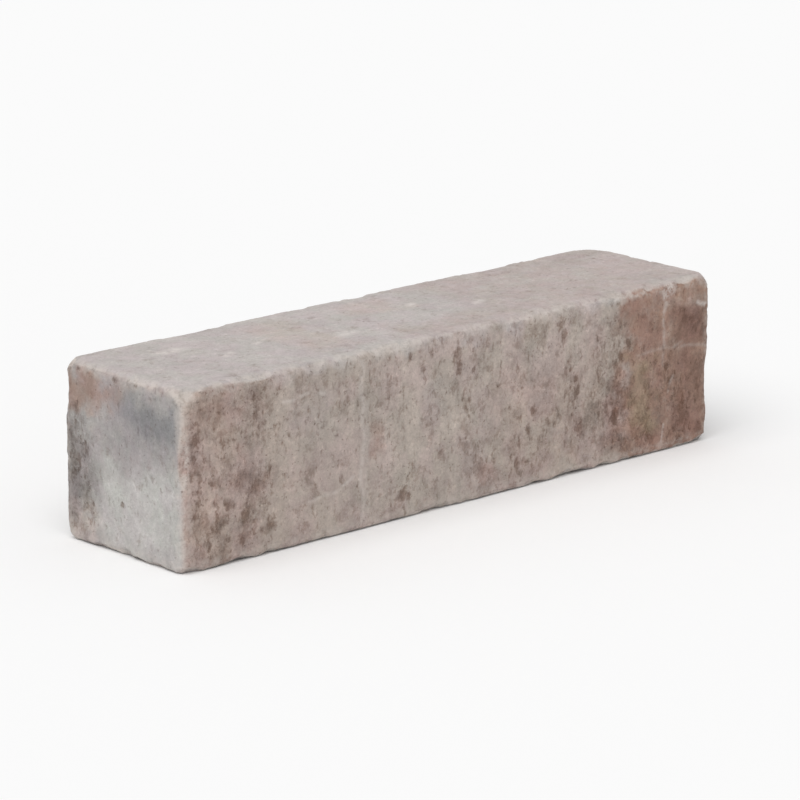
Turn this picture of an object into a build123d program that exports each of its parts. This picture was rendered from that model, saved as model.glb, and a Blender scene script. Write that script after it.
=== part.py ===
"""Tumbled concrete garden wall block: one pressed piece, lying on its bed face.

The block runs along X, its front face looks along -Y, and the origin is at the middle of the bed.
"""

import os
from math import cos, radians, sin, sqrt

from build123d import *

# Driving dimensions, in millimetres
length = 600.0  # along the course
width = 150.0  # through the wall
height = 150.0  # one course

# Roundness that the tumbling drum leaves on the arrises
upright_arris = 7.5  # the four upright arrises, in plan
top_arris = 5.5  # round the top face
bed_arris = 4.0  # round the bed face

# Knocked corners: side of X, Y and Z, and the depth below the sharp corner along its diagonal
corner_knocks = [
    (-1, -1, +1, 9.0),
    (-1, +1, +1, 8.5),
    (+1, -1, +1, 8.0),
    (+1, +1, +1, 13.0),
    (-1, -1, -1, 6.0),
    (-1, +1, -1, 6.5),
    (+1, -1, -1, 7.0),
    (+1, +1, -1, 6.0),
]
knock_run_out = 0.5  # how far outside the worn crest a knock's ball passes where the knock ends

# Spalls on the long arrises: side of Y and Z, share of the length from the left end,
# length along the arris, bite below the worn crest, and lean in degrees towards the top or bed
long_spalls = [
    (-1, +1, 0.13, 46.0, 1.9, 10.0),
    (-1, +1, 0.36, 78.0, 1.7, -14.0),
    (-1, +1, 0.61, 54.0, 1.4, 12.0),
    (-1, +1, 0.84, 38.0, 2.6, -6.0),
    (+1, +1, 0.21, 66.0, 2.2, 12.0),
    (+1, +1, 0.50, 44.0, 1.6, -10.0),
    (+1, +1, 0.77, 74.0, 2.8, 6.0),
    (-1, -1, 0.10, 34.0, 1.8, 10.0),
    (-1, -1, 0.45, 62.0, 1.5, -8.0),
    (-1, -1, 0.72, 46.0, 2.2, 14.0),
    (+1, -1, 0.30, 54.0, 2.0, -10.0),
    (+1, -1, 0.66, 80.0, 2.6, 6.0),
]

# Spalls on the upright arrises: side of X and Y, share of the height, length, bite,
# and lean towards the end
upright_spalls = [
    (-1, -1, 0.62, 44.0, 1.8, -12.0),
    (-1, +1, 0.84, 46.0, 2.6, 10.0),
    (+1, -1, 0.38, 50.0, 2.2, 8.0),
    (+1, +1, 0.56, 46.0, 2.4, -12.0),
]

# Spalls on the arrises across the ends: side of X and Z, share of the width, length, bite,
# and lean towards the top or bed
cross_spalls = [
    (-1, +1, 0.38, 46.0, 1.8, 12.0),
    (-1, -1, 0.60, 40.0, 1.6, -8.0),
    (+1, +1, 0.55, 44.0, 2.4, -10.0),
    (+1, -1, 0.42, 52.0, 1.8, 10.0),
]

parts_folder = "parts"


def level(side: int) -> float:
    """Height of the top face (side +1) or the bed face (side -1)."""
    return height if side > 0 else 0.0


def level_arris(side: int) -> float:
    """Radius of the arrises round the top face (side +1) or the bed face (side -1)."""
    return top_arris if side > 0 else bed_arris


def crest_depth(radius: float) -> float:
    """Depth of a rounded arris's crest below the sharp arris, along its diagonal."""
    return (sqrt(2) - 1) * radius


def knock_cutter(x_side: int, y_side: int, z_side: int, depth: float) -> Part:
    """The material that a knocked corner loses: what lies outside a ball within the corner.

    The ball passes at the knock's depth below the sharp corner, and it is large enough to come out
    through the worn crest of the level arrises, where the knock ends.
    """
    corner = Vector(x_side * length / 2, y_side * width / 2, level(z_side))
    inward = Vector(-x_side, -y_side, -z_side).normalized()
    end_depth = crest_depth(level_arris(z_side)) - knock_run_out
    ball = (sqrt(2) * depth - sqrt(3) * end_depth) / (sqrt(3) - sqrt(2))
    reach = (ball + depth) / sqrt(3)
    with BuildPart() as cutter:
        with Locations(corner):
            Box(2 * reach, 2 * reach, 2 * reach)
        with Locations(corner + inward * (ball + depth)):
            Sphere(ball, mode=Mode.SUBTRACT)
    return cutter.part


def scoop(sharp: Vector, first: Vector, second: Vector, radius: float, spall: list) -> tuple:
    """Centre and radius of the ball that bites one spall out of an arris.

    sharp is the point on the sharp arris, first and second are the outward normals of its two faces,
    radius is the roundness of the arris, and spall gives length, bite and lean towards the second face.
    """
    run, bite, lean = spall
    turn = radians(45 + lean)
    outward = first * cos(turn) + second * sin(turn)
    crest = sharp - (first + second).normalized() * crest_depth(radius)
    ball = (run**2 / 4 + bite**2) / (2 * bite)
    return crest + outward * (ball - bite), ball


def all_scoops() -> list:
    """Centre and radius of every spall's ball, from the three lists of spalls."""
    scoops = []
    for y_side, z_side, share, *spall in long_spalls:
        sharp = Vector((share - 0.5) * length, y_side * width / 2, level(z_side))
        faces = Vector(0, y_side, 0), Vector(0, 0, z_side)
        scoops.append(scoop(sharp, *faces, level_arris(z_side), spall))
    for x_side, y_side, share, *spall in upright_spalls:
        sharp = Vector(x_side * length / 2, y_side * width / 2, share * height)
        faces = Vector(0, y_side, 0), Vector(x_side, 0, 0)
        scoops.append(scoop(sharp, *faces, upright_arris, spall))
    for x_side, z_side, share, *spall in cross_spalls:
        sharp = Vector(x_side * length / 2, (share - 0.5) * width, level(z_side))
        faces = Vector(x_side, 0, 0), Vector(0, 0, z_side)
        scoops.append(scoop(sharp, *faces, level_arris(z_side), spall))
    return scoops


corner_cutters = [knock_cutter(*knock) for knock in corner_knocks]

with BuildPart() as wall_block:
    # Pressed blank with the upright arrises already rounded
    with BuildSketch():
        RectangleRounded(length, width, upright_arris)
    extrude(amount=height)

    # Worn arrises round the top and the bed
    fillet(wall_block.faces().sort_by(Axis.Z)[-1].edges(), radius=top_arris)
    fillet(wall_block.faces().sort_by(Axis.Z)[0].edges(), radius=bed_arris)

    # Corners knocked round against other blocks in the drum
    add(corner_cutters, mode=Mode.SUBTRACT)

    # Shallow spalls bitten out of the arrises
    for centre, ball in all_scoops():
        with Locations(centre):
            Sphere(ball, mode=Mode.SUBTRACT)

wall_block.part.label = "wall_block"

os.makedirs(parts_folder, exist_ok=True)
export_step(wall_block.part, f"{parts_folder}/{wall_block.part.label}.step")
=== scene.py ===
"""Looks of one tumbled concrete garden wall block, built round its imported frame.

The row frame is in metres: the block runs along X, its front face looks along -Y, Z is up, and the
origin is at the middle of the bed. A place on a face is given in shares of that face, from its lowest
corner (0, 0) to its highest (1, 1), along the two axes that the face spans. Lengths are in metres, but
those in the tables of marks are in millimetres.
"""

import logging
from collections.abc import Iterator
from dataclasses import dataclass, replace
from enum import Enum
from itertools import combinations, cycle
from math import cos, radians, sin
from random import Random
from typing import ClassVar, TypeVar

import bmesh
import bpy
import numpy as np
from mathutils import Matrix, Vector, bvhtree, kdtree, noise


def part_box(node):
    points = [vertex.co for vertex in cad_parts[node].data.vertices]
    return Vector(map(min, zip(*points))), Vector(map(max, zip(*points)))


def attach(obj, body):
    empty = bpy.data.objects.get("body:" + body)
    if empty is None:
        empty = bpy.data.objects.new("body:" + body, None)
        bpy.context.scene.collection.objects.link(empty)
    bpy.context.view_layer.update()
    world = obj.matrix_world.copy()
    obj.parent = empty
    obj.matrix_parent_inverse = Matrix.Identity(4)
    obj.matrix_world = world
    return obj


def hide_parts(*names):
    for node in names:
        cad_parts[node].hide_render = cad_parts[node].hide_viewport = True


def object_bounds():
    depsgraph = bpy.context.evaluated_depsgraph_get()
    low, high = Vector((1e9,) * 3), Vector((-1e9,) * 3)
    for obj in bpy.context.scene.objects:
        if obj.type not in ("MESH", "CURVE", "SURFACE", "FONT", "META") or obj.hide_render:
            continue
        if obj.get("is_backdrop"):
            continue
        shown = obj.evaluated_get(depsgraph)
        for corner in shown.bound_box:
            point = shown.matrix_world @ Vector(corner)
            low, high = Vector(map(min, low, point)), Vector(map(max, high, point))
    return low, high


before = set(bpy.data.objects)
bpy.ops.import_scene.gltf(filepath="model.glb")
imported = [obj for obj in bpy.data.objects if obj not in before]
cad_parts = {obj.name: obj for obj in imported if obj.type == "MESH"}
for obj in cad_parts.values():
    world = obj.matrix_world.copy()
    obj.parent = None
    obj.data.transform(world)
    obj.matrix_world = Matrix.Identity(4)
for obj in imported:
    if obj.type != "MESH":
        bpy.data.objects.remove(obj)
cad_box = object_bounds()

log = logging.getLogger("wall_block")

MM = 0.001
IMAGE_PIXELS = 800
SENSOR_WIDTH = 36.0

# Mean of the finish's cloudy noise
NOISE_MEAN = 0.5

# Cosines of the angle from a face's normal where a patch of that face starts, and where it is full
FACING = (0.5, 0.9)

# Half-way from one face's normal to the next one's, in degrees
DIAGONAL = 45.0

# Power of a random draw, which makes small sizes more common than large ones
SMALL_BIAS = 2

# Shares just outside a face, and the corners of a patch that covers all of it
UNDER = -0.1
OVER = 1.1
WHOLE = ((UNDER, UNDER), (OVER, OVER))

Pair = tuple[float, float]
Triple = tuple[float, float, float]
Spot = tuple[Vector, float]
Socket = bpy.types.NodeSocket
Mark = TypeVar("Mark")


def from_screen(red: int, green: int, blue: int) -> Triple:
    """Turns an sRGB screen colour, with channels from 0 to 255, into a shader's linear colour."""
    shares = [channel / 255 for channel in (red, green, blue)]
    return tuple(s / 12.92 if s <= 0.04045 else ((s + 0.055) / 1.055) ** 2.4 for s in shares)


def ease(value: np.ndarray, low: float, high: float) -> np.ndarray:
    """Eases numbers smoothly from 0 at low to 1 at high, where high may be the smaller number."""
    share = np.clip((value - low) / (high - low), 0.0, 1.0)
    return share * share * (3 - 2 * share)


def mostly_small(span: Pair, draw: Random) -> float:
    """A random size between the least and the most of a span, more often a small one."""
    return span[0] + draw.random() ** SMALL_BIAS * (span[1] - span[0])


def finder_of(places: np.ndarray) -> kdtree.KDTree:
    """Makes a finder of the places near a point.

    Args:
        places: Rows of X, Y and Z.

    Returns:
        The finder, which numbers the places by row.
    """
    finder = kdtree.KDTree(len(places))
    for row, place in enumerate(places):
        finder.insert(place, row)
    finder.balance()
    return finder


def add_object(name: str, data: bpy.types.ID) -> bpy.types.Object:
    """Adds an object to the scene.

    Args:
        name: Its name.
        data: Its mesh, light or camera.

    Returns:
        The new object.
    """
    added = bpy.data.objects.new(name, data)
    bpy.context.scene.collection.objects.link(added)
    return added


def add_shell(name: str, shell: bmesh.types.BMesh) -> bpy.types.Object:
    """Adds an object with a new mesh to the scene, and frees the shell that it is made from.

    Args:
        name: Name of both.
        shell: The shell.

    Returns:
        The new object.
    """
    mesh = bpy.data.meshes.new(name)
    shell.to_mesh(mesh)
    shell.free()
    return add_object(name, mesh)


@dataclass(frozen=True)
class Waves:
    """Uneven waves through space, which roughen a shape or an edge.

    Attributes:
        strength: How far they rise and fall.
        scale: Waves to a metre.
        layers: Number of layers.
        fade: How much weaker each finer layer is.
        finer: How much finer each layer is than the last.
    """

    strength: float
    scale: float
    layers: int = 1
    fade: float = 1.0
    finer: float = 2.0

    def at(self, place: Vector) -> float:
        """Reads the waves.

        Args:
            place: The place.

        Returns:
            How far they rise there.
        """
        if self.layers == 1:
            return self.strength * noise.noise(place * self.scale)
        return self.strength * noise.fractal(place * self.scale, self.fade, self.finer, self.layers)


class Face(Enum):
    """A face of the block: the axis of its normal, and the side of the block that it is on."""

    FRONT = (1, -1)
    BACK = (1, 1)
    LEFT_END = (0, -1)
    RIGHT_END = (0, 1)
    TOP = (2, 1)
    BED = (2, -1)

    @property
    def axis(self) -> int:
        """Axis of the face's normal: 0 for X, 1 for Y, 2 for Z."""
        return self.value[0]

    @property
    def side(self) -> int:
        """Side of the block along that axis: -1 or 1."""
        return self.value[1]

    @property
    def normal(self) -> Vector:
        """Outward normal."""
        return Vector([self.side if axis == self.axis else 0.0 for axis in range(3)])

    @property
    def span(self) -> tuple[int, int]:
        """The two axes that the face spans, in X, Y, Z order."""
        return tuple(axis for axis in range(3) if axis != self.axis)


class Layer(Enum):
    """A number from 0 to 1 that the mesh holds at each vertex, and the finish reads."""

    WEAR = "wear"
    PIT = "pit"
    SCRATCH = "scratch"
    LEVEL = "level"
    OPEN = "open_grain"
    ASH = "ash"
    CREAM = "cream"
    PINK = "pink"
    LIME = "lime"
    COOL = "cool_grey"
    EARTH = "earth"
    RUSSET = "russet"
    OLIVE = "olive"
    BURNT = "burnt"
    # Dark smudges, and also painted shade along back edges
    SMUDGE = "smudge"


BEIGE = from_screen(182, 169, 162)
DULL_BEIGE = from_screen(174, 163, 156)
SAGE_CAST = (0.985, 1.002, 0.975)
ROSE_CAST = (1.015, 0.985, 0.995)
RUBBED = from_screen(206, 197, 190)
PALE_FLECK = from_screen(213, 205, 200)
DIRT_SHADE = (0.50, 0.43, 0.385)
TINTS = {
    Layer.ASH: from_screen(164, 159, 158),
    Layer.CREAM: from_screen(187, 180, 178),
    Layer.PINK: from_screen(188, 174, 167),
    Layer.LIME: from_screen(188, 186, 183),
    Layer.COOL: from_screen(137, 135, 137),
    Layer.EARTH: from_screen(169, 149, 141),
    Layer.RUSSET: from_screen(154, 126, 113),
    Layer.OLIVE: from_screen(157, 139, 119),
    Layer.BURNT: from_screen(132, 105, 94),
    # Colour of dark smudges, and also of painted shade along back edges
    Layer.SMUDGE: from_screen(112, 104, 100),
}


@dataclass(frozen=True)
class BlockBox:
    """The block's box in the row frame.

    Attributes:
        low: Lowest corner.
        high: Highest corner.
    """

    low: Vector
    high: Vector

    @property
    def size(self) -> Vector:
        """Length, width and height."""
        return self.high - self.low

    def level(self, face: Face) -> float:
        """Where a face lies along its normal's axis."""
        return (self.low if face.side < 0 else self.high)[face.axis]

    def along(self, axis: int, share: float) -> float:
        """A place along one axis, from its share of the box."""
        return self.low[axis] + share * self.size[axis]

    def place(self, face: Face, shares: Pair) -> Vector:
        """Finds a point on a face.

        Args:
            face: The face.
            shares: Shares along the two axes that the face spans.

        Returns:
            The point, in the row frame.
        """
        point = Vector((0.0, 0.0, 0.0))
        point[face.axis] = self.level(face)
        for axis, share in zip(face.span, shares):
            point[axis] = self.along(axis, share)
        return point


@dataclass(frozen=True)
class Clouds:
    """Cloudy noise of a finish.

    Attributes:
        scale: Clouds to a metre.
        detail: Number of finer layers.
        rough: Strength of each finer layer, as a share of the last.
        stretch: Factor on the scale along each axis.
        span: Where in the noise a mark starts, and where it is full.
        shift: Shift of the noise, for another pattern of the same kind.
        finer: How much finer each layer is than the last; at 2 their grids line up.
    """

    scale: float
    detail: float = 2.0
    rough: float = 0.5
    stretch: Triple = (1.0, 1.0, 1.0)
    span: Pair = (0.0, 1.0)
    shift: Triple = (0.0, 0.0, 0.0)
    finer: float = 2.17


class Value:
    """A number socket of a sheet of nodes, which Python arithmetic extends with Math nodes."""

    def __init__(self, sheet: "NodeSheet", socket: Socket) -> None:
        """Wraps a socket of a sheet of nodes."""
        self.sheet = sheet
        self.socket = socket

    def _math(self, operation: str, *terms: "Value | float") -> "Value":
        """Adds a Math node that takes the terms in order."""
        made = self.sheet.node("ShaderNodeMath", {"operation": operation}, dict(enumerate(terms)))
        return Value(self.sheet, made.outputs[0])

    def __add__(self, other: "Value | float") -> "Value":
        """Sum."""
        return self._math("ADD", self, other)

    __radd__ = __add__

    def __sub__(self, other: "Value | float") -> "Value":
        """Difference."""
        return self._math("SUBTRACT", self, other)

    def __mul__(self, other: "Value | float") -> "Value":
        """Product."""
        return self._math("MULTIPLY", self, other)

    __rmul__ = __mul__

    def most(self, other: "Value | float") -> "Value":
        """The larger of the two."""
        return self._math("MAXIMUM", self, other)

    def ease(self, low: float, high: float) -> "Value":
        """Eases smoothly, where high may be the smaller number.

        Args:
            low: Where the result is 0.
            high: Where the result is 1.

        Returns:
            The eased number, from 0 to 1.
        """
        sockets = {"Value": self, "From Min": low, "From Max": high}
        made = self.sheet.node("ShaderNodeMapRange", {"interpolation_type": "SMOOTHSTEP"}, sockets)
        return Value(self.sheet, made.outputs["Result"])


Given = Value | Socket | float | Triple


class NodeSheet:
    """The nodes of one material or world."""

    # Numbers of a Mix node's colour sockets, which share their names with its other sockets
    FIRST_COLOUR = 6
    SECOND_COLOUR = 7
    MIXED_COLOUR = 2

    def __init__(self, owner: bpy.types.Material | bpy.types.World) -> None:
        """Clears the nodes of a new material or world.

        Args:
            owner: The material or world.
        """
        owner.use_nodes = True
        self.tree = owner.node_tree
        self.tree.nodes.clear()

    def node(
        self, kind: str, settings: dict[str, object], sockets: dict[str | int, Given]
    ) -> bpy.types.Node:
        """Adds a node.

        Args:
            kind: The node's type.
            settings: Its settings by name, which are set first.
            sockets: Values or links of its sockets, by name or number.

        Returns:
            The new node.
        """
        made = self.tree.nodes.new(kind)
        for name, setting in settings.items():
            setattr(made, name, setting)
        for key, given in sockets.items():
            source = given.socket if isinstance(given, Value) else given
            if isinstance(source, Socket):
                self.tree.links.new(source, made.inputs[key])
            elif isinstance(source, tuple) and len(made.inputs[key].default_value) > len(source):
                made.inputs[key].default_value = (*source, 1.0)
            else:
                made.inputs[key].default_value = source
        return made

    def object_place(self) -> Socket:
        """The place on the object, in the row frame."""
        return self.node("ShaderNodeTexCoord", {}, {}).outputs["Object"]

    def layer(self, layer: Layer) -> Value:
        """A number that the mesh holds at each vertex."""
        made = self.node("ShaderNodeAttribute", {"attribute_name": layer.value}, {})
        return Value(self, made.outputs["Fac"])

    def cloud_node(self, place: Socket, clouds: Clouds) -> bpy.types.Node:
        """Adds cloudy noise.

        Args:
            place: Where to read it.
            clouds: The clouds.

        Returns:
            The new node.
        """
        sockets = {"Vector": place, "Location": clouds.shift, "Scale": clouds.stretch}
        drawn = self.node("ShaderNodeMapping", {}, sockets).outputs["Vector"]
        sockets = {
            "Vector": drawn,
            "Scale": clouds.scale,
            "Detail": clouds.detail,
            "Roughness": clouds.rough,
            "Lacunarity": clouds.finer,
        }
        return self.node("ShaderNodeTexNoise", {}, sockets)

    def noise(self, place: Socket, clouds: Clouds) -> Value:
        """Cloudy noise from 0 to 1."""
        return Value(self, self.cloud_node(place, clouds).outputs[0])

    def grains(self, place: Socket, scale: float) -> tuple[Value, Value]:
        """Adds random grains.

        Args:
            place: Where to read them.
            scale: Grains to a metre.

        Returns:
            The distance from the middle of a grain, and a random tone for each grain.
        """
        made = self.node("ShaderNodeTexVoronoi", {}, {"Vector": place, "Scale": scale})
        split = self.node("ShaderNodeSeparateColor", {}, {0: made.outputs["Color"]})
        return Value(self, made.outputs["Distance"]), Value(self, split.outputs[0])

    def mix(self, share: Given, first: Given, second: Given, blend: str = "MIX") -> Socket:
        """Mixes two colours.

        Args:
            share: Share of the second colour.
            first: First colour.
            second: Second colour.
            blend: How they mix.

        Returns:
            The mixed colour.
        """
        settings = {"data_type": "RGBA", "blend_type": blend}
        sockets = {0: share, self.FIRST_COLOUR: first, self.SECOND_COLOUR: second}
        return self.node("ShaderNodeMix", settings, sockets).outputs[self.MIXED_COLOUR]

    def shade(self, colour: Given, factor: Value) -> Socket:
        """Makes a colour darker or lighter by a factor."""
        grey = self.node("ShaderNodeCombineColor", {}, {0: factor, 1: factor, 2: factor}).outputs[0]
        return self.mix(1.0, colour, grey, "MULTIPLY")

    def moved(self, place: Socket, clouds: Clouds, reach: float) -> Socket:
        """Shifts a place by noise, so that edges wander.

        Args:
            place: The place.
            clouds: The noise.
            reach: The whole range of the shift.

        Returns:
            The shifted place.
        """
        colour = self.cloud_node(place, clouds).outputs["Color"]
        sockets = {0: colour, 1: (reach,) * 3, 2: (-reach / 2,) * 3}
        shift = self.node("ShaderNodeVectorMath", {"operation": "MULTIPLY_ADD"}, sockets).outputs[0]
        return self.node("ShaderNodeVectorMath", {"operation": "ADD"}, {0: place, 1: shift}).outputs[0]


@dataclass(frozen=True)
class Patch:
    """A patch of one layer on one face, with soft wandering edges, over what lies below it.

    Attributes:
        face, layer: The face that it lies on, and the layer.
        low, high: Its lowest and highest corner, in shares of the face.
        cover: The layer's number within the patch, from 0 to 1.
        soft: Width of its edge, in millimetres.
        wander_share, most_wander: How far the edge wanders, as a share of its width and at most.
    """

    face: Face
    layer: Layer
    low: Pair
    high: Pair
    cover: float
    soft: float
    wander_share: ClassVar[float] = 0.9
    most_wander: ClassVar[float] = 16.0

    def share(self, box: BlockBox, places: np.ndarray, waves: np.ndarray) -> np.ndarray:
        """How far into the patch each place lies.

        Args:
            box: The block's box.
            places: Rows of X, Y and Z.
            waves: Height at each place of the waves along which the edge wanders.

        Returns:
            0 outside the patch, 1 inside it.
        """
        over = []
        for axis, low, high in zip(self.face.span, self.low, self.high):
            middle = box.along(axis, (low + high) / 2)
            half = (high - low) / 2 * box.size[axis]
            over.append(np.abs(places[:, axis] - middle) - half)
        beyond = np.hypot(np.maximum(over[0], 0.0), np.maximum(over[1], 0.0))
        outside = beyond + np.minimum(np.maximum(*over), 0.0)
        wander = min(self.wander_share * self.soft, self.most_wander) * MM
        half_edge = self.soft * MM / 2
        return ease(outside + waves * wander, half_edge, -half_edge)


@dataclass(frozen=True)
class Pit:
    """A pit in one face.

    Attributes:
        face, spot: The face that it lies on, and its middle in shares of the face.
        radius, depth: Radius along the first axis of the face, and depth, in millimetres.
        stretch: Its length along the second axis of the face, in widths.
        strength, layer: How much dirt it holds, from 0 to 1, and the layer that shows it.
        rim, most_spread: Waves that make its rim ragged, and the most that they widen it.
        fine_share: Share of its reach that needs finer faces.
    """

    face: Face
    spot: Pair
    radius: float
    depth: float
    stretch: float = 1.0
    strength: float = 1.0
    layer: ClassVar[Layer] = Layer.PIT
    rim: ClassVar[tuple[Waves, ...]] = (Waves(0.6, 240.0), Waves(0.35, 520.0))
    most_spread: ClassVar[float] = 1.6
    fine_share: ClassVar[float] = 0.8

    def spots(self, box: BlockBox) -> list[Spot]:
        """Its middle and its reach."""
        reach = self.radius * MM * max(1.0, self.stretch) * self.most_spread
        return [(box.place(self.face, self.spot), reach)]

    def share(self, place: Vector, middle: Vector) -> float:
        """How far into the pit a place lies.

        Args:
            place: The place.
            middle: Middle of the pit.

        Returns:
            0 outside the pit, 1 in its middle.
        """
        away = place - middle
        away[self.face.span[1]] /= self.stretch
        ragged = 1 + sum(waves.at(place) for waves in self.rim)
        bowl = max(0.0, 1 - away.length / (self.radius * MM) * max(1 / self.most_spread, ragged))
        return bowl * bowl * (3 - 2 * bowl)


@dataclass(frozen=True)
class PitField:
    """Pits strewn over part of one face, in clusters.

    Attributes:
        face: The face that they lie on.
        low, high: Lowest and highest corner of the field, in shares of the face.
        count: Number of pits that are tried.
        radius, depth, stretch, strength: Least and most of each number of a pit.
        kept, clusters: Share of the tries that is kept, and waves that raise and lower it.
    """

    face: Face
    low: Pair
    high: Pair
    count: int
    radius: Pair
    depth: Pair
    stretch: ClassVar[Pair] = (0.8, 1.5)
    strength: ClassVar[Pair] = (0.1, 0.6)
    kept: ClassVar[float] = 0.5
    clusters: ClassVar[Waves] = Waves(0.9, 22.0)

    def strew(self, box: BlockBox, draw: Random) -> Iterator[Pit]:
        """Draws the pits of the field.

        Args:
            box: The block's box.
            draw: Random draws.

        Returns:
            The pits, one by one.
        """
        for _ in range(self.count):
            spot = tuple(draw.uniform(low, high) for low, high in zip(self.low, self.high))
            radius = mostly_small(self.radius, draw)
            others = [draw.uniform(*span) for span in (self.depth, self.stretch, self.strength)]
            if self.kept + self.clusters.at(box.place(self.face, spot)) > draw.random():
                yield Pit(self.face, spot, radius, *others)


@dataclass(frozen=True)
class Scratch:
    """A pale scratch or rubbed spot on one face.

    Attributes:
        face: The face that it lies on.
        start, end: Where it starts and ends, in shares of the face.
        width, depth: In millimetres.
        strength, layer: How pale it is, from 0 to 1, and the layer that shows it.
        steps_per_width: Points along it to each width.
        sway, sway_scale: How far it sways, in widths, and sways to a metre.
        fine_share: Share of its reach that needs finer faces.
    """

    face: Face
    start: Pair
    end: Pair
    width: float
    strength: float
    depth: float = 0.15
    layer: ClassVar[Layer] = Layer.SCRATCH
    steps_per_width: ClassVar[int] = 2
    sway: ClassVar[float] = 1.5
    sway_scale: ClassVar[float] = 55.0
    fine_share: ClassVar[float] = 1.0

    def spots(self, box: BlockBox) -> list[Spot]:
        """Points along the scratch, which sways a little.

        Args:
            box: The block's box.

        Returns:
            The points, each with its reach.
        """
        width = self.width * MM
        start, end = box.place(self.face, self.start), box.place(self.face, self.end)
        count = max(2, round(self.steps_per_width * (end - start).length / width))
        points = [start.lerp(end, step / count) for step in range(count + 1)]
        for point in points:
            aside = noise.noise_vector(point * self.sway_scale) * self.sway * width
            aside[self.face.axis] = 0.0
            point += aside
        return [(point, width) for point in points]

    def share(self, place: Vector, middle: Vector) -> float:
        """How far into the scratch a place lies, from 0 to 1, by a point along it."""
        return max(0.0, 1 - (place - middle).length / (self.width * MM))


@dataclass(frozen=True)
class Chip:
    """A chip that a ball bites out of an arris.

    Attributes:
        crest, reach: Its middle, on the worn arris, and how far it can reach from there.
        centre, ball, rough: Middle and radius of the ball, and waves that roughen it.
        fine_share: Share of its reach that needs finer faces.
    """

    crest: Vector
    centre: Vector
    ball: float
    reach: float
    rough: ClassVar[Waves] = Waves(0.25 * MM, 230.0)
    fine_share: ClassVar[float] = 0.6


@dataclass(frozen=True)
class ArrisChips:
    """Small chips strewn along the arrises.

    Attributes:
        axes: Axes of the arrises that are chipped: 0 for X, 1 for Y, 2 for Z.
        run: Least and most length along the arris, in millimetres.
        bite: Least and most depth, as a share of the length.
        per_metre: Chips to a metre of arris.
        lean: Most lean towards either face, in degrees.
    """

    axes: tuple[int, ...]
    run: Pair
    bite: Pair
    per_metre: ClassVar[float] = 52.0
    lean: ClassVar[float] = 24.0

    def strew(self, box: BlockBox, solid: bvhtree.BVHTree, draw: Random) -> Iterator[Chip]:
        """Draws the chips.

        Args:
            box: The block's box.
            solid: The solid's surface.
            draw: Random draws.

        Returns:
            The chips, one by one.
        """
        for first, second in combinations(Face, 2):
            # The arris runs along the axis that is neither face's
            axis = sum(range(3)) - first.axis - second.axis
            if first.axis == second.axis or axis not in self.axes:
                continue
            for _ in range(round(self.per_metre * box.size[axis])):
                sharp = Vector((0.0, 0.0, 0.0))
                sharp[first.axis], sharp[second.axis] = box.level(first), box.level(second)
                sharp[axis] = box.along(axis, draw.random())
                run = mostly_small(self.run, draw) * MM
                bite = run * draw.uniform(*self.bite)
                turn = radians(DIAGONAL + draw.uniform(-self.lean, self.lean))
                outward = first.normal * cos(turn) + second.normal * sin(turn)
                crest = solid.find_nearest(sharp)[0]
                ball = (run**2 / 4 + bite**2) / (2 * bite)
                yield Chip(crest, crest + outward * (ball - bite), ball, run)


@dataclass(frozen=True)
class Weathering:
    """How the drum and the weather have worn the faces and the arrises.

    Attributes:
        dent, rough: Shallow dents in the faces, and finer unevenness.
        crumb, crumb_mean: Crumbled spots on the crests of the arrises, and their mean depth.
        hollow, hollow_mean: Longer hollows along the crests, and their mean depth.
        crest: Largest part of the normal where an arris starts, and where it is fully worn.
        rim: Distances from the sharp arris where a face starts to be rubbed, and where it is most.
        rim_wear: How rubbed the rim of a face is at most, from 0 to 1.
    """

    dent: Waves = Waves(0.25 * MM, 28.0)
    rough: Waves = Waves(0.10 * MM, 110.0, 3, 0.9)
    crumb: Waves = Waves(0.5 * MM, 190.0, 3, 0.7)
    crumb_mean: float = 0.175 * MM
    hollow: Waves = Waves(0.85 * MM, 48.0)
    hollow_mean: float = 0.17 * MM
    crest: Pair = (0.985, 0.80)
    rim: Pair = (12 * MM, 6 * MM)
    rim_wear: float = 0.5

    def wear(self, normals: np.ndarray, arris_gap: np.ndarray) -> np.ndarray:
        """How worn each place is, from its normal and its distance from the sharp arrises."""
        rounded = ease(np.abs(normals).max(axis=1), *self.crest)
        return np.maximum(rounded, self.rim_wear * ease(arris_gap, *self.rim))

    def depth(self, place: Vector, wear: float) -> float:
        """How deep the face is dented and the arris has crumbled at one place.

        Args:
            place: The place.
            wear: 1 on the crest of an arris, 0 on the flats.

        Returns:
            The depth.
        """
        dented = sum(waves.strength + waves.at(place) for waves in (self.dent, self.rough))
        crumbled = max(0.0, self.crumb_mean + self.crumb.at(place))
        hollowed = max(0.0, self.hollow_mean + self.hollow.at(place))
        return dented + wear * (crumbled + hollowed)


@dataclass(frozen=True)
class Rise:
    """A number that changes evenly with a share.

    Attributes:
        start: The number at a share of 0.
        gain: What a share of 1 adds to it.
    """

    start: float
    gain: float

    def at(self, share: Value) -> Value:
        """The number at a share."""
        return self.start + self.gain * share


@dataclass(frozen=True)
class Dirt:
    """Dirt of one size, which lies where its clouds run high.

    Attributes:
        clouds: Its clouds, with the span over which it comes in.
        pull: How much soiled ground adds to the clouds.
        cover: How much it hides what lies below, from 0 to 1.
    """

    clouds: Clouds
    pull: float
    cover: float

    def marks(self, cloud: Value, soiled: Value) -> Value:
        """Where the dirt lies, from 0 to 1."""
        return (cloud + self.pull * soiled).ease(*self.clouds.span)


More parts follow.
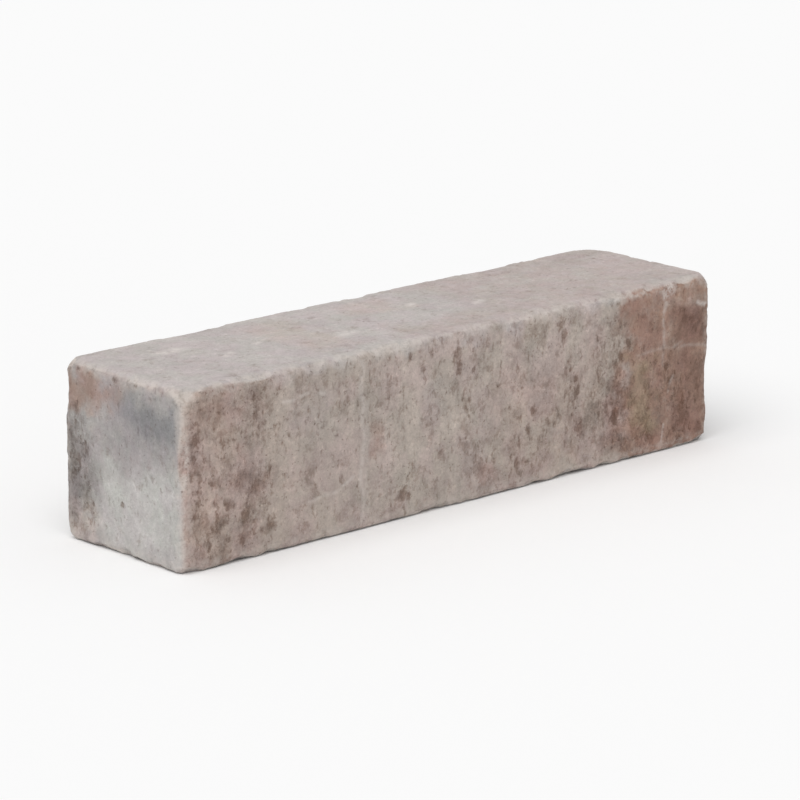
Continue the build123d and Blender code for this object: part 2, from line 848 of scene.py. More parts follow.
@dataclass(frozen=True)
class ConcreteFinish:
    """Weathered concrete: tinted paste, dirt in its open grain and pits, rubbed arrises and scratches.

    Clouds are named for what they draw, and a Rise for what it sets.
    """

    # Noise that makes the edges of the marks wander, and the range of the wander in metres
    wander: Clouds = Clouds(160.0, 3.0, finer=2.0)
    wander_reach: float = 3 * MM

    # Clouds of the plain paste, clouds that break up the tints, and the drift between two casts
    paste_cloud: Clouds = Clouds(9.0, 4.0, 0.6, span=(0.36, 0.64))
    tint_edge: Clouds = Clouds(70.0, 5.0, 0.7)
    tint_shifts: tuple[Triple, ...] = ((0.0, 0.0, 0.0), (1.0, 0.0, 0.0), (0.0, 1.0, 0.0))
    tint_ragged: Rise = Rise(4.0, -2.5)
    drift: Clouds = Clouds(34.0, 4.0, 0.6, (1.0, 1.0, 0.8), (0.38, 0.62))

    # Cloudy tone and streaks, and their strength over the open grain
    mottle: Clouds = Clouds(24.0, 6.0, 0.85, (1.0, 1.0, 0.95))
    mottle_tone: Rise = Rise(0.6, 2.0)
    upright_streak: Clouds = Clouds(1.0, 3.0, 0.6, (120.0, 120.0, 11.0))
    level_streak: Clouds = Clouds(1.0, 3.0, 0.6, (8.0, 70.0, 70.0))
    streak_tone: Rise = Rise(0.14, 0.14)

    # Dirt at three sizes, the clusters that it gathers in, and what open grain and pits hold of it
    blots: Dirt = Dirt(Clouds(70.0, 5.0, 0.65, (1.0, 1.0, 0.95), (0.56, 0.74)), 0.15, 0.55)
    specks: Dirt = Dirt(Clouds(210.0, 3.0, 0.6, (1.0, 1.0, 0.55), (0.58, 0.86)), 0.19, 0.9)
    pores: Dirt = Dirt(Clouds(430.0, span=(0.66, 0.80)), 0.12, 0.6)
    cluster: Clouds = Clouds(36.0, 3.0, 0.6, (1.0, 1.0, 0.4), (0.30, 0.70))
    grain_soil: Rise = Rise(0.15, 1.4)
    pit_soil: float = 2.0

    # Stains in the pits, how much specks and pores break them up, and the darkness of all dirt
    stain_specks: float = 0.9
    stain_pores: float = 0.4
    stain_span: Pair = (0.0, 0.95)
    dirt_tone: Rise = Rise(0.5, 1.0)

    # Pale flecks with their strength over the open grain, and sand grains to a metre with their tone
    fleck: Clouds = Clouds(150.0, 4.0, 0.65, span=(0.55, 0.72))
    fleck_tone: Rise = Rise(0.14, 0.15)
    grain: float = 640.0
    grain_tone: Rise = Rise(0.94, 0.12)

    # Clouds that break up the rubbed arrises and the scratches, and the spans over which these show
    rub: Clouds = Clouds(120.0, 4.0, 0.65)
    worn_span: Pair = (0.38, 0.60)
    worn_cover: float = 0.68
    scratch_span: Pair = (0.34, 0.52)

    # Fine relief: its whole height in metres, shares of it, and how much flatter the level faces are
    relief: float = 1.0 * MM
    fine: Clouds = Clouds(700.0, 4.0, 0.65)
    fine_height: float = 0.20
    grain_height: float = 0.10
    grain_dome: Pair = (0.7, 0.1)
    mottle_height: float = 0.7
    speck_depth: float = 0.35
    pore_depth: float = 0.3
    level_relief: Rise = Rise(1.0, -0.6)
    roughness: Rise = Rise(0.80, 0.16)
    sheen: float = 0.3

    def make(self) -> bpy.types.Material:
        """Builds the material.

        Returns:
            The material.
        """
        material = bpy.data.materials.new("weathered_concrete")
        sheet = NodeSheet(material)
        place = sheet.object_place()
        near = sheet.moved(place, self.wander, self.wander_reach)
        opened, level = sheet.layer(Layer.OPEN), sheet.layer(Layer.LEVEL)
        colour = self.paste(sheet, place)

        # Cloudy tone, and the streaks that the mould drew up the sides and along the top
        mottle = sheet.noise(near, self.mottle)
        upright = sheet.noise(near, self.upright_streak)
        lengthwise = sheet.noise(near, self.level_streak)
        streak = upright + level * (lengthwise - upright)
        mottled = (mottle - NOISE_MEAN) * self.mottle_tone.at(opened)
        streaked = (streak - NOISE_MEAN) * self.streak_tone.at(opened)
        colour = sheet.shade(colour, 1.0 + (mottled + streaked))

        # Dirt in the open grain, at three sizes, and stains in the pits
        blotch = sheet.noise(near, self.blots.clouds)
        speck = sheet.noise(near, self.specks.clouds)
        pore = sheet.noise(place, self.pores.clouds)
        cluster = sheet.noise(near, self.cluster).ease(*self.cluster.span)
        pit = sheet.layer(Layer.PIT)
        soiled = opened * self.grain_soil.at(cluster) + self.pit_soil * pit
        blots = self.blots.marks(blotch, soiled)
        specks = self.specks.marks(speck, soiled)
        pores = self.pores.marks(pore, soiled)
        broken = self.stain_specks * (speck - NOISE_MEAN) + self.stain_pores * (pore - NOISE_MEAN)
        dirt = (pit + broken).ease(*self.stain_span)
        for marks, kind in ((blots, self.blots), (specks, self.specks), (pores, self.pores)):
            dirt = dirt.most(marks * kind.cover)
        dirt = dirt * self.dirt_tone.at(pore)
        colour = sheet.mix(dirt, colour, sheet.mix(1.0, colour, DIRT_SHADE, "MULTIPLY"))

        # Pale flecks and sand grains
        fleck = sheet.noise(near, self.fleck).ease(*self.fleck.span)
        colour = sheet.shade(colour, 1.0 + fleck * self.fleck_tone.at(opened))
        grain_gap, grain_tone = sheet.grains(near, self.grain)
        colour = sheet.shade(colour, self.grain_tone.at(grain_tone))

        # Rubbed arrises and scratches go pale
        rub = sheet.noise(near, self.rub)
        worn = sheet.layer(Layer.WEAR) * rub.ease(*self.worn_span)
        colour = sheet.mix(worn * self.worn_cover, colour, RUBBED)
        scratched = sheet.layer(Layer.SCRATCH) * rub.ease(*self.scratch_span)
        colour = sheet.mix(scratched, colour, PALE_FLECK)

        # Fine relief
        fine = sheet.noise(place, self.fine)
        dome = grain_gap.ease(*self.grain_dome)
        raised = fine * self.fine_height + dome * self.grain_height + mottle * self.mottle_height
        height = raised - specks * self.speck_depth - pores * self.pore_depth
        height = height * self.level_relief.at(level)
        sockets = {"Strength": 1.0, "Distance": self.relief, "Height": height}
        bump = sheet.node("ShaderNodeBump", {}, sockets)
        sockets = {
            "Base Color": colour,
            "Roughness": self.roughness.at(fine),
            "Normal": bump.outputs[0],
            "Specular IOR Level": self.sheen,
        }
        shader = sheet.node("ShaderNodeBsdfPrincipled", {}, sockets)
        sheet.node("ShaderNodeOutputMaterial", {}, {"Surface": shader.outputs[0]})
        return material

    def paste(self, sheet: NodeSheet, place: Socket) -> Socket:
        """Lays the tints over the plain paste.

        Args:
            sheet: The material's nodes.
            place: The place on the object.

        Returns:
            The colour.
        """
        cloud = sheet.noise(place, self.paste_cloud).ease(*self.paste_cloud.span)
        colour = sheet.mix(cloud, BEIGE, DULL_BEIGE)
        edges = [sheet.noise(place, replace(self.tint_edge, shift=shift)) for shift in self.tint_shifts]
        for (layer, tint), edge in zip(TINTS.items(), cycle(edges)):
            held = sheet.layer(layer)
            cover = held + held * (edge - NOISE_MEAN) * self.tint_ragged.at(held)
            colour = sheet.mix(cover, colour, tint)
        drift = sheet.noise(place, self.drift).ease(*self.drift.span)
        return sheet.mix(1.0, colour, sheet.mix(drift, SAGE_CAST, ROSE_CAST), "MULTIPLY")


@dataclass
class WallBlock:
    """The weathered skin of the block, which stands for the plain solid.

    Attributes:
        finish: Finish of the concrete.
        patches: Patches of tint and of open grain.
        pits, fields: Pits that are placed one by one, and fields of strewn pits.
        scratches, chips: Scratches and rubbed spots, and chips along the arrises.
        weathering: Wear of the faces and arrises.
        edge_waves: Waves along which the edges of the patches wander.
        node: The solid that it stands for.
        slot: Not used.
        grid: Side of the faces on the flats.
        margins, arris_reaches: How far round the marks and arrises faces are halved, in two rounds.
        merge_gap: How near two corners of the solid's faces are one.
        seed: Start of the random draws.
    """

    finish: ConcreteFinish
    patches: tuple[Patch, ...]
    pits: tuple[Pit, ...]
    fields: tuple[PitField, ...]
    scratches: tuple[Scratch, ...]
    chips: tuple[ArrisChips, ...]
    weathering: Weathering = Weathering()
    edge_waves: Waves = Waves(1.0, 42.0, 4, 0.8)
    node: str = "wall_block"
    slot: str = "concrete"
    grid: float = 5 * MM
    margins: Pair = (2 * MM, 0.4 * MM)
    arris_reaches: Pair = (9 * MM, 0.0)
    merge_gap: float = 0.01 * MM
    seed: int = 41

    def __post_init__(self) -> None:
        """Reads the solid's box and surface, strews the pits and chips, and notes all marks."""
        self.box = BlockBox(*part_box(self.node))
        shell = self.solid_copy()
        self.solid = bvhtree.BVHTree.FromBMesh(shell)
        shell.free()
        noise.seed_set(self.seed)
        draw = Random(self.seed)
        strewn = [pit for field in self.fields for pit in field.strew(self.box, draw)]
        self.marks = [*self.pits, *strewn, *self.scratches]
        self.all_chips = [chip for kind in self.chips for chip in kind.strew(self.box, self.solid, draw)]

    def build(self) -> bpy.types.Object:
        """Builds, weathers and dresses the block.

        Returns:
            The finished piece.
        """
        shell = bmesh.new()
        shell.from_mesh(self.even_grid())
        for margin, arris_reach in zip(self.margins, self.arris_reaches):
            self.halve_faces(shell, margin, arris_reach)
        piece = add_shell("weathered_block", shell)
        self.weather(piece.data)
        piece.data.shade_smooth()
        piece.data.materials.append(self.finish.make())
        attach(piece, "root")
        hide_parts(self.node)
        return piece

    def solid_copy(self) -> bmesh.types.BMesh:
        """Copies the solid's mesh and merges its doubled corners.

        Returns:
            The merged copy.
        """
        shell = bmesh.new()
        shell.from_mesh(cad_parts[self.node].data)
        bmesh.ops.remove_doubles(shell, verts=shell.verts, dist=self.merge_gap)
        return shell

    def even_grid(self) -> bpy.types.Mesh:
        """Lays an even grid of faces over the solid.

        Returns:
            The new mesh.
        """
        carrier = add_shell("plain_block", self.solid_copy())
        remesh = carrier.modifiers.new("even_grid", "REMESH")
        remesh.mode = "VOXEL"
        remesh.voxel_size = self.grid
        depsgraph = bpy.context.evaluated_depsgraph_get()
        made = bpy.data.meshes.new_from_object(carrier.evaluated_get(depsgraph))
        bpy.data.objects.remove(carrier)
        return made

    def arris_gap(self, places: np.ndarray) -> np.ndarray:
        """Distance of each place from the nearest sharp arris of the box.

        Args:
            places: Rows of X, Y and Z.

        Returns:
            The distances.
        """
        low, high = np.array(self.box.low), np.array(self.box.high)
        gaps = np.sort(np.minimum(places - low, high - places), axis=1)
        return np.hypot(gaps[:, 0], gaps[:, 1])

    def fine_spots(self) -> Iterator[Spot]:
        """Where the pits, scratches and chips need finer faces.

        Returns:
            The spots, one by one.
        """
        for mark in self.marks:
            yield from ((middle, reach * mark.fine_share) for middle, reach in mark.spots(self.box))
        yield from ((chip.crest, chip.reach * chip.fine_share) for chip in self.all_chips)

    def halve_faces(self, shell: bmesh.types.BMesh, margin: float, arris_reach: float) -> None:
        """Halves the faces that touch a pit, scratch, chip or arris, and lays them on the solid.

        Args:
            shell: The mesh.
            margin: How far round each pit, scratch and chip the faces are halved.
            arris_reach: How far from the sharp arrises they are halved.
        """
        shell.verts.index_update()
        places = np.array([vert.co for vert in shell.verts])
        chosen = self.arris_gap(places) < arris_reach
        finder = finder_of(places)
        for middle, reach in self.fine_spots():
            for _, index, _ in finder.find_range(middle, reach + margin):
                chosen[index] = True
        for face in shell.faces:
            face.tag = any(chosen[vert.index] for vert in face.verts)
        edges = [edge for edge in shell.edges if any(face.tag for face in edge.link_faces)]
        bmesh.ops.subdivide_edges(shell, edges=edges, cuts=1, use_grid_fill=True)
        for vert in shell.verts:
            vert.co = self.solid.find_nearest(vert.co)[0]

    def weather(self, mesh: bpy.types.Mesh) -> None:
        """Paints the layers, chips the arrises, dents the faces and sinks the marks, always inwards.

        Args:
            mesh: The mesh, whose vertices get the layers.
        """
        places = np.array([vertex.co for vertex in mesh.vertices])
        normals = np.array([normal.vector for normal in mesh.vertex_normals])
        layers = {layer: np.zeros(len(places)) for layer in Layer}
        layers[Layer.WEAR] = self.weathering.wear(normals, self.arris_gap(places))
        layers[Layer.LEVEL] = ease(np.abs(normals[:, Face.TOP.axis]), *FACING)
        self.paint(places, normals, layers)
        finder = finder_of(places)
        sunk = self.sink_marks(finder, layers)
        worn = [self.weathering.depth(Vector(p), w) for p, w in zip(places, layers[Layer.WEAR])]
        self.bite_chips(finder, places)
        places -= normals * (sunk + np.array(worn))[:, None]
        mesh.vertices.foreach_set("co", places.astype(np.float32).ravel())
        for layer, numbers in layers.items():
            held = mesh.attributes.new(layer.value, "FLOAT", "POINT")
            held.data.foreach_set("value", numbers.astype(np.float32))
        mesh.update()

    def paint(self, places: np.ndarray, normals: np.ndarray, layers: dict[Layer, np.ndarray]) -> None:
        """Paints the patches, in order.

        Args:
            places: Rows of X, Y and Z.
            normals: Rows of outward normals.
            layers: The layers, which are painted.
        """
        waves = np.array([self.edge_waves.at(Vector(place)) for place in places])
        for patch in self.patches:
            facing = ease(normals @ np.array(patch.face.normal), *FACING)
            share = patch.share(self.box, places, waves) * facing
            layers[patch.layer] += share * (patch.cover - layers[patch.layer])

    def sink_marks(self, finder: kdtree.KDTree, layers: dict[Layer, np.ndarray]) -> np.ndarray:
        """Sinks the pits and scratches.

        Args:
            finder: Finder of the vertices.
            layers: The layers, of which those that show the marks are filled in.

        Returns:
            How deep each vertex sinks.
        """
        depth = np.zeros(len(layers[Layer.PIT]))
        for mark in self.marks:
            shown = layers[mark.layer]
            for middle, reach in mark.spots(self.box):
                for place, index, _ in finder.find_range(middle, reach):
                    share = mark.share(place, middle)
                    shown[index] = max(shown[index], share * mark.strength)
                    depth[index] = max(depth[index], share * mark.depth * MM)
        return depth

    def bite_chips(self, finder: kdtree.KDTree, places: np.ndarray) -> None:
        """Bites the chips out of the arrises.

        Args:
            finder: Finder of the vertices, where they were before.
            places: Rows of X, Y and Z, which are moved.
        """
        for chip in self.all_chips:
            for place, index, _ in finder.find_range(chip.crest, chip.reach):
                ball = chip.ball + chip.rough.at(place)
                away = Vector(places[index]) - chip.centre
                if away.length < ball:
                    places[index] = chip.centre + away.normalized() * ball


@dataclass
class Studio:
    """A plain pale floor, soft light from above and the camera at the photograph's viewing angle.

    Attributes:
        floor_side, floor_colour: Side and colour of the floor.
        sky, sun: Strength of the light from all round, and of the soft light from above.
        sun_spread, sun_way: Angle in degrees that the soft light fills, and where it comes from.
        azimuth: The camera's angle round the block, in degrees; 0 looks along +Y.
        elevation: The camera's angle above the horizon, in degrees.
        distance: From the camera to the middle of the block.
        focal_pixels: Focal length, in pixels of the image.
    """

    floor_side: float = 30.0
    floor_colour: Triple = (0.97, 0.97, 0.97)
    sky: float = 0.55
    sun: float = 1.6
    sun_spread: float = 60.0
    sun_way: Triple = (-0.45, -0.20, 0.87)
    azimuth: float = -42.6
    elevation: float = 14.9
    distance: float = 3.5
    focal_pixels: float = 4170.0

    def build(self, box: BlockBox) -> None:
        """Sets up the floor, the light and the camera.

        Args:
            box: The block's box.
        """
        self.lay_floor()
        self.light()
        self.aim_camera((box.low + box.high) / 2)
        bpy.context.scene.view_settings.view_transform = "Standard"

    def lay_floor(self) -> None:
        """Lays the floor that the block stands on."""
        material = bpy.data.materials.new("pale_floor")
        sheet = NodeSheet(material)
        shader = sheet.node("ShaderNodeBsdfDiffuse", {}, {"Color": self.floor_colour})
        sheet.node("ShaderNodeOutputMaterial", {}, {"Surface": shader.outputs[0]})
        shell = bmesh.new()
        bmesh.ops.create_grid(shell, x_segments=1, y_segments=1, size=self.floor_side / 2)
        floor = add_shell("floor", shell)
        floor.data.materials.append(material)
        floor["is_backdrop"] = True

    def light(self) -> None:
        """Lights the block from all round and softly from above, before a white background."""
        world = bpy.data.worlds.new("studio")
        bpy.context.scene.world = world
        sheet = NodeSheet(world)
        rays = sheet.node("ShaderNodeLightPath", {}, {}).outputs
        seen = Value(sheet, rays["Is Camera Ray"])
        for kind in ("Is Glossy Ray", "Is Transmission Ray"):
            seen = seen.most(Value(sheet, rays[kind]))
        strength = self.sky + (1.0 - self.sky) * seen
        shader = sheet.node("ShaderNodeBackground", {}, {"Color": (1.0, 1.0, 1.0), "Strength": strength})
        sheet.node("ShaderNodeOutputWorld", {}, {"Surface": shader.outputs[0]})
        lamp = bpy.data.lights.new("soft_light", "SUN")
        lamp.energy = self.sun
        lamp.angle = radians(self.sun_spread)
        holder = add_object("soft_light", lamp)
        holder.rotation_mode = "QUATERNION"
        holder.rotation_quaternion = Vector(self.sun_way).to_track_quat("Z", "Y")

    def aim_camera(self, middle: Vector) -> None:
        """Points the camera at the middle of the block.

        Args:
            middle: The middle of the block.
        """
        turn, rise = radians(self.azimuth), radians(self.elevation)
        back = Vector((sin(turn) * cos(rise), -cos(turn) * cos(rise), sin(rise)))
        lens = bpy.data.cameras.new("camera")
        lens.sensor_width = SENSOR_WIDTH
        lens.lens = self.focal_pixels * SENSOR_WIDTH / IMAGE_PIXELS
        camera = add_object("camera", lens)
        camera.location = middle + back * self.distance
        camera.rotation_mode = "QUATERNION"
        camera.rotation_quaternion = back.to_track_quat("Z", "Y")
        bpy.context.scene.camera = camera


def on_face(kind: type[Mark], face: Face, *rows: tuple) -> tuple[Mark, ...]:
    """Makes the marks of one kind on one face, from rows of their other fields."""
    return tuple(kind(face, *row) for row in rows)


# Layer, lowest corner, highest corner, cover and soft edge of each patch
FRONT_PATCHES = on_face(
    Patch,
    Face.FRONT,
    (Layer.OPEN, *WHOLE, 0.42, 8),
    # Earthy, open left part
    (Layer.EARTH, (UNDER, UNDER), (0.21, OVER), 0.3, 90),
    (Layer.EARTH, (UNDER, UNDER), (0.12, OVER), 0.7, 80),
    (Layer.OPEN, (0.0, 0.06), (0.14, 0.96), 0.56, 80),
    (Layer.OPEN, (0.03, 0.12), (0.13, 0.46), 0.85, 45),
    (Layer.RUSSET, (0.03, 0.80), (0.07, 0.95), 0.3, 14),
    # Middle part
    (Layer.OPEN, (0.22, 0.05), (0.30, 0.95), 0.30, 60),
    (Layer.ASH, (0.18, 0.60), (0.27, 0.80), 0.25, 25),
    (Layer.ASH, (0.43, 0.55), (0.48, 0.75), 0.25, 20),
    (Layer.EARTH, (0.33, 0.40), (0.36, 0.575), 0.8, 12),
    (Layer.EARTH, (0.53, 0.08), (0.57, 0.20), 0.8, 12),
    (Layer.EARTH, (0.57, 0.0), (0.80, 0.70), 0.45, 45),
    (Layer.OPEN, (0.60, 0.15), (0.80, 0.95), 0.58, 40),
    (Layer.CREAM, (0.17, 0.95), (0.80, OVER), 0.75, 14),
    # Russet right part, burnt and olive in places
    (Layer.EARTH, (0.78, 0.45), (0.82, 0.90), 0.35, 24),
    (Layer.RUSSET, (0.82, UNDER), (OVER, OVER), 0.95, 20),
    (Layer.RUSSET, (0.92, 0.80), (0.975, 0.925), 0.72, 14),
    (Layer.EARTH, (0.77, 0.0), (0.88, 0.46), 0.65, 30),
    (Layer.EARTH, (0.795, 0.44), (0.845, 0.58), 0.95, 14),
    (Layer.RUSSET, (0.800, 0.46), (0.830, 0.56), 0.6, 14),
    (Layer.BURNT, (0.79, 0.10), (0.812, 0.32), 0.35, 14),
    (Layer.OLIVE, (0.83, 0.17), (0.88, 0.57), 0.75, 20),
    (Layer.BURNT, (0.925, 0.62), (1.0, 0.80), 0.95, 18),
    (Layer.BURNT, (0.91, 0.0), (1.05, 0.56), 0.58, 24),
    (Layer.BURNT, (0.95, 0.28), (1.0, 0.55), 0.9, 18),
    (Layer.OPEN, (0.76, 0.02), (0.90, 0.55), 0.75, 25),
    (Layer.OPEN, (0.90, UNDER), (OVER, OVER), 0.6, 25),
    (Layer.OPEN, (0.83, 0.64), (0.89, 0.93), 0.2, 20),
    (Layer.CREAM, (0.986, 0.10), (OVER, 0.97), 0.5, 8),
)
LEFT_END_PATCHES = on_face(
    Patch,
    Face.LEFT_END,
    (Layer.ASH, *WHOLE, 1.0, 6),
    (Layer.OPEN, *WHOLE, 0.12, 6),
    # Pale below, with a cool band above
    (Layer.LIME, (0.0, 0.0), (0.66, 0.51), 0.9, 50),
    (Layer.COOL, (0.0, 0.58), (0.60, 0.92), 0.45, 45),
    (Layer.COOL, (0.07, 0.73), (0.52, 0.88), 1.0, 24),
    # Brown spall at the back, and pinkish rims
    (Layer.EARTH, (0.50, 0.80), (0.70, 0.97), 0.6, 20),
    (Layer.EARTH, (0.60, 0.76), (1.05, 0.97), 1.0, 20),
    (Layer.RUSSET, (0.65, 0.78), (1.05, 0.94), 0.22, 20),
    (Layer.BURNT, (0.65, 0.77), (1.05, 0.94), 0.30, 20),
    (Layer.SMUDGE, (0.55, 0.80), (1.05, 0.97), 0.10, 18),
    (Layer.SMUDGE, (0.54, 0.80), (0.68, 0.93), 0.22, 16),
    (Layer.EARTH, (UNDER, 0.935), (0.70, OVER), 0.4, 8),
    (Layer.PINK, (0.70, 0.03), (0.98, 0.20), 0.6, 20),
    (Layer.PINK, (UNDER, UNDER), (0.04, OVER), 0.3, 6),
    # Dark smear with specks towards the back, and painted shade in a strip along the back edge
    (Layer.SMUDGE, (0.72, 0.32), (0.93, 0.63), 0.45, 24),
    # Painted shade: a darker strip along the back edge, where the rounded arris turns away from the
    # light
    (Layer.SMUDGE, (0.86, 0.14), (1.05, 0.70), 0.48, 20),
    (Layer.OPEN, (0.74, 0.10), (OVER, 0.70), 0.6, 24),
)
TOP_PATCHES = on_face(
    Patch,
    Face.TOP,
    (Layer.CREAM, *WHOLE, 1.0, 6),
    (Layer.OPEN, *WHOLE, 0.05, 6),
    (Layer.PINK, (0.27, 0.18), (0.35, 0.80), 0.5, 30),
    (Layer.PINK, (0.45, 0.63), (0.54, 0.88), 0.5, 25),
    (Layer.EARTH, (0.62, UNDER), (OVER, OVER), 0.32, 80),
    (Layer.EARTH, (0.43, UNDER), (0.94, 0.28), 0.32, 30),
    # Darker strip along the back arris: partly dark specks, partly painted shade where the rounded arris
    # turns away from the light
    (Layer.SMUDGE, (UNDER, 0.955), (OVER, OVER), 0.15, 8),
)
# The sides that the photograph hides
BACK_PATCHES = on_face(
    Patch,
    Face.BACK,
    (Layer.OPEN, *WHOLE, 0.45, 8),
    (Layer.EARTH, (0.58, UNDER), (0.86, OVER), 0.55, 50),
    (Layer.OPEN, (0.62, 0.1), (0.84, 0.8), 0.85, 40),
    (Layer.RUSSET, (0.33, 0.55), (0.44, OVER), 0.55, 60),
    (Layer.RUSSET, (0.28, 0.80), (0.38, OVER), 0.7, 30),
    (Layer.COOL, (UNDER, UNDER), (0.14, 0.62), 0.6, 40),
    (Layer.ASH, (0.88, UNDER), (OVER, 0.7), 0.7, 40),
)
RIGHT_END_PATCHES = on_face(
    Patch,
    Face.RIGHT_END,
    (Layer.ASH, *WHOLE, 0.9, 6),
    (Layer.OPEN, *WHOLE, 0.25, 6),
    (Layer.LIME, (0.35, 0.30), (0.95, 0.85), 0.7, 40),
    (Layer.RUSSET, (UNDER, UNDER), (0.20, OVER), 0.6, 30),
    (Layer.COOL, (0.30, 0.02), (0.80, 0.22), 0.6, 30),
)
BED_PATCHES = on_face(
    Patch,
    Face.BED,
    (Layer.ASH, *WHOLE, 0.8, 6),
    (Layer.OPEN, *WHOLE, 0.7, 6),
    (Layer.EARTH, (0.2, 0.1), (0.6, 0.9), 0.4, 50),
)
# Middle, radius, depth, stretch and dirt of each pit
FRONT_PITS = on_face(
    Pit,
    Face.FRONT,
    ((0.024, 0.718), 9.5, 0.5, 1.4, 0.6),
    ((0.130, 0.885), 8.0, 0.4, 2.2, 0.5),
    ((0.060, 0.460), 8.5, 0.5, 1.0, 0.6),
    ((0.100, 0.460), 8.0, 0.5, 1.2, 0.7),
    ((0.128, 0.400), 9.0, 0.6, 1.2, 0.8),
    ((0.081, 0.325), 10.0, 0.6, 0.8, 0.7),
    ((0.058, 0.350), 7.5, 0.5, 0.8, 0.6),
    ((0.069, 0.240), 9.5, 0.5, 0.9, 0.8),
    ((0.109, 0.240), 11.0, 0.7, 1.1, 0.85),
    ((0.153, 0.160), 9.0, 0.6, 1.0, 0.85),
    ((0.103, 0.125), 9.0, 0.5, 0.8, 0.7),
    ((0.078, 0.140), 8.0, 0.5, 0.9, 0.6),
    ((0.390, 0.140), 8.6, 0.9, 1.0, 0.85),
    ((0.402, 0.125), 4.9, 0.5),
    ((0.492, 0.860), 8.0, 0.4, 1.6, 0.85),
    ((0.497, 0.790), 6.0, 0.4, 2.0, 0.85),
    ((0.405, 0.900), 4.6, 0.5, 1.6, 0.8),
    ((0.430, 0.820), 4.4, 0.5, 1.4, 0.75),
    ((0.4625, 0.330), 4.1, 0.6, 1.8, 0.8),
    ((0.508, 0.545), 3.4, 0.5, 1.2, 0.8),
    ((0.516, 0.585), 3.0, 0.5, 1.3, 0.8),
    ((0.503, 0.600), 2.8, 0.4, 1.0, 0.7),
    ((0.694, 0.900), 8.0, 0.4, 1.5, 0.7),
    ((0.699, 0.840), 5.5, 0.4, 2.2, 0.8),
    ((0.723, 0.560), 3.8, 0.6, 1.4),
    ((0.725, 0.480), 4.2, 0.7, 1.5),
    ((0.667, 0.355), 4.6, 0.5, 1.1, 0.7),
    ((0.681, 0.325), 3.4, 0.5, 1.3, 0.7),
    ((0.692, 0.365), 3.8, 0.5, 1.0, 0.7),
    ((0.730, 0.270), 5.6, 0.5, 1.3),
    ((0.640, 0.430), 4.9, 0.5, 1.6),
    ((0.630, 0.325), 4.5, 0.5, 1.4),
    ((0.830, 0.700), 5.6, 0.6, 1.4),
    ((0.802, 0.590), 4.5, 0.5, 1.4),
    ((0.812, 0.625), 4.9, 0.6, 1.4),
    ((0.803, 0.275), 8.2, 0.6, 1.3),
    ((0.906, 0.490), 3.6, 0.4, 2.2, 0.5),
    ((0.913, 0.420), 3.2, 0.4, 2.2, 0.5),
)
LEFT_END_PITS = on_face(
    Pit,
    Face.LEFT_END,
    ((0.80, 0.55), 13.1, 0.5, 1.0, 0.3),
    ((0.88, 0.45), 8.5, 0.5, 1.3, 0.5),
    ((0.91, 0.38), 6.8, 0.5, 1.2, 0.5),
    ((0.83, 0.60), 6.8, 0.4, 1.0, 0.3),
    ((0.50, 0.28), 4.1, 0.6),
    ((0.38, 0.965), 3.8, 0.6),
    ((0.55, 0.960), 3.8, 0.6),
    # A row of shallow pits under the top rim of the spall, darkened as painted shadow under that rim
    ((0.78, 0.955), 4.0, 0.5, 0.5),
    ((0.85, 0.965), 4.0, 0.5, 0.5),
    ((0.93, 0.955), 4.0, 0.5, 0.5),
)
TOP_PITS = on_face(
    Pit,
    Face.TOP,
    ((0.447, 0.740), 5.6, 0.3, 1.2, 0.4),
    ((0.290, 0.220), 4.5, 0.3, 1.2, 0.4),
    ((0.775, 0.275), 4.5, 0.3, 1.2, 0.4),
)
PIT_FIELDS = (
    PitField(Face.FRONT, (0.01, 0.02), (0.99, 0.98), 220, (1.3, 3.0), (0.3, 0.8)),
    PitField(Face.FRONT, (0.02, 0.08), (0.17, 0.60), 50, (1.8, 4.5), (0.4, 0.9)),
    PitField(Face.FRONT, (0.35, 0.15), (0.85, 0.98), 60, (1.8, 4.0), (0.3, 0.7)),
    PitField(Face.FRONT, (0.015, 0.04), (0.05, 0.96), 24, (1.5, 3.2), (0.4, 0.9)),
    PitField(Face.LEFT_END, (0.74, 0.10), (0.98, 0.70), 40, (1.3, 2.6), (0.3, 0.8)),
    PitField(Face.LEFT_END, (0.05, 0.90), (0.95, 0.97), 20, (1.5, 3.0), (0.4, 0.9)),
    PitField(Face.LEFT_END, (0.02, 0.02), (0.98, 0.98), 36, (1.2, 2.0), (0.3, 0.7)),
    PitField(Face.TOP, (0.01, 0.03), (0.99, 0.97), 40, (1.3, 2.2), (0.2, 0.5)),
    PitField(Face.BACK, (0.01, 0.02), (0.99, 0.98), 200, (1.4, 3.4), (0.3, 0.9)),
    PitField(Face.RIGHT_END, (0.02, 0.02), (0.98, 0.98), 50, (1.3, 2.8), (0.3, 0.8)),
    PitField(Face.BED, (0.01, 0.03), (0.99, 0.97), 140, (1.6, 3.6), (0.3, 0.9)),
)
ARRIS_CHIPS = (
    ArrisChips(axes=(0, 1), run=(4, 24), bite=(0.05, 0.13)),
    ArrisChips(axes=(2,), run=(6, 26), bite=(0.04, 0.10)),
)
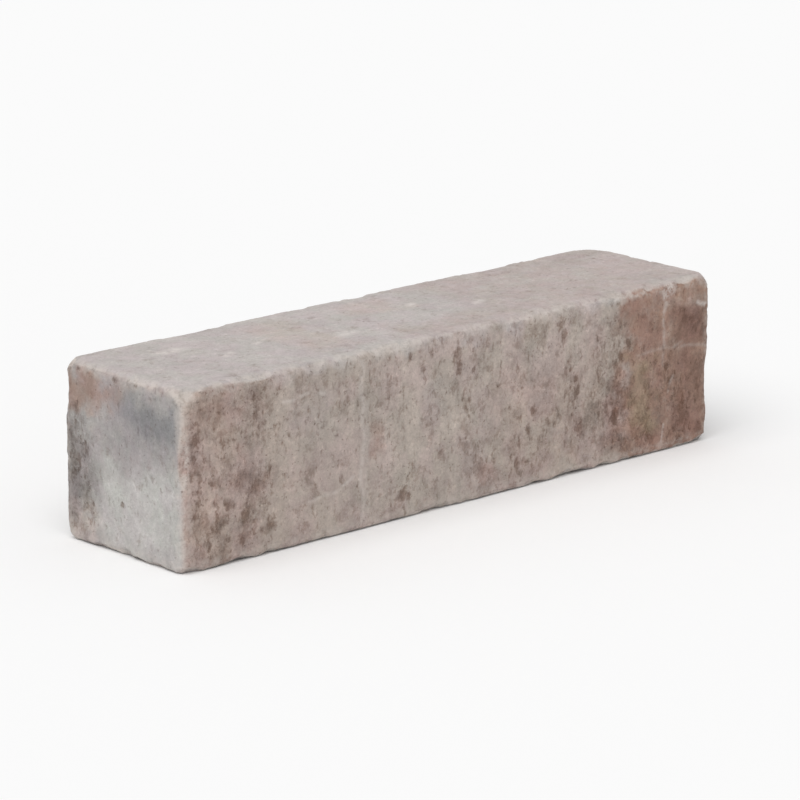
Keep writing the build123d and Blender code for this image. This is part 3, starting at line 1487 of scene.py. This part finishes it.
# Start, end, width, strength and depth of each scratch, and of the rubbed spots on the top
FRONT_SCRATCHES = on_face(
    Scratch,
    Face.FRONT,
    ((0.899, 0.62), (0.901, 0.83), 2.6, 0.36),
    ((0.897, 0.48), (0.899, 0.62), 2.0, 0.25),
    ((0.850, 0.610), (0.945, 0.620), 2.2, 0.20),
    ((0.936, 0.590), (0.995, 0.570), 2.4, 0.24),
    ((0.912, 0.36), (0.922, 0.44), 2.2, 0.30),
    ((0.899, 0.06), (0.902, 0.16), 1.6, 0.5),
    ((0.901, 0.830), (0.908, 0.890), 4.0, 0.5),
    ((0.912, 0.905), (0.920, 0.930), 8.0, 0.9),
    ((0.902, 0.910), (0.912, 0.960), 5.0, 0.95),
    ((0.802, 0.950), (0.812, 0.960), 3.6, 0.9),
    ((0.975, 0.850), (0.988, 0.815), 3.2, 0.7),
    ((0.316, 0.03), (0.318, 0.93), 3.8, 0.48, 0.1),
    ((0.323, 0.10), (0.324, 0.72), 2.6, 0.26, 0.1),
    ((0.175, 0.82), (0.218, 0.84), 2.2, 0.5),
    ((0.218, 0.84), (0.260, 0.82), 2.2, 0.5),
    ((0.220, 0.24), (0.280, 0.26), 2.4, 0.45),
    ((0.280, 0.26), (0.303, 0.32), 2.6, 0.5),
)
TOP_SPOTS = on_face(
    Scratch,
    Face.TOP,
    ((0.115, 0.69), (0.135, 0.70), 9.0, 0.9, 0.05),
    ((0.055, 0.40), (0.062, 0.42), 5.0, 0.9, 0.05),
    ((0.170, 0.45), (0.190, 0.48), 6.0, 0.8, 0.05),
    ((0.240, 0.51), (0.252, 0.53), 5.0, 0.8, 0.05),
    ((0.365, 0.36), (0.385, 0.40), 8.0, 0.8, 0.05),
    ((0.550, 0.62), (0.562, 0.64), 7.0, 0.9, 0.05),
    ((0.618, 0.40), (0.630, 0.42), 7.0, 0.8, 0.05),
)
BACK_SCRATCHES = on_face(
    Scratch,
    Face.BACK,
    ((0.20, 0.31), (0.25, 0.44), 2.2, 0.35),
    ((0.255, 0.46), (0.29, 0.60), 2.6, 0.3),
    ((0.68, 0.69), (0.73, 0.66), 2.4, 0.35),
    ((0.74, 0.64), (0.78, 0.58), 2.0, 0.3),
)


def write_sizes() -> None:
    boxes = {"cad": cad_box, "visual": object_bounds()}
    {name: [list(corner) for corner in box] for name, box in boxes.items()}


def main() -> None:
    """Builds the block and its studio, and reports each piece."""
    logging.basicConfig(level=logging.INFO, format="%(name)s: %(message)s")
    patches = FRONT_PATCHES + LEFT_END_PATCHES + TOP_PATCHES
    patches += BACK_PATCHES + RIGHT_END_PATCHES + BED_PATCHES
    pits = FRONT_PITS + LEFT_END_PITS + TOP_PITS
    scratches = FRONT_SCRATCHES + TOP_SPOTS + BACK_SCRATCHES
    block = WallBlock(ConcreteFinish(), patches, pits, PIT_FIELDS, scratches, ARRIS_CHIPS)
    piece = block.build()
    triangles = sum(len(face.vertices) - 2 for face in piece.data.polygons)
    log.info("%s has %d triangles", piece.name, triangles)
    Studio().build(block.box)
    write_sizes()


if __name__ == "__main__":
    main()
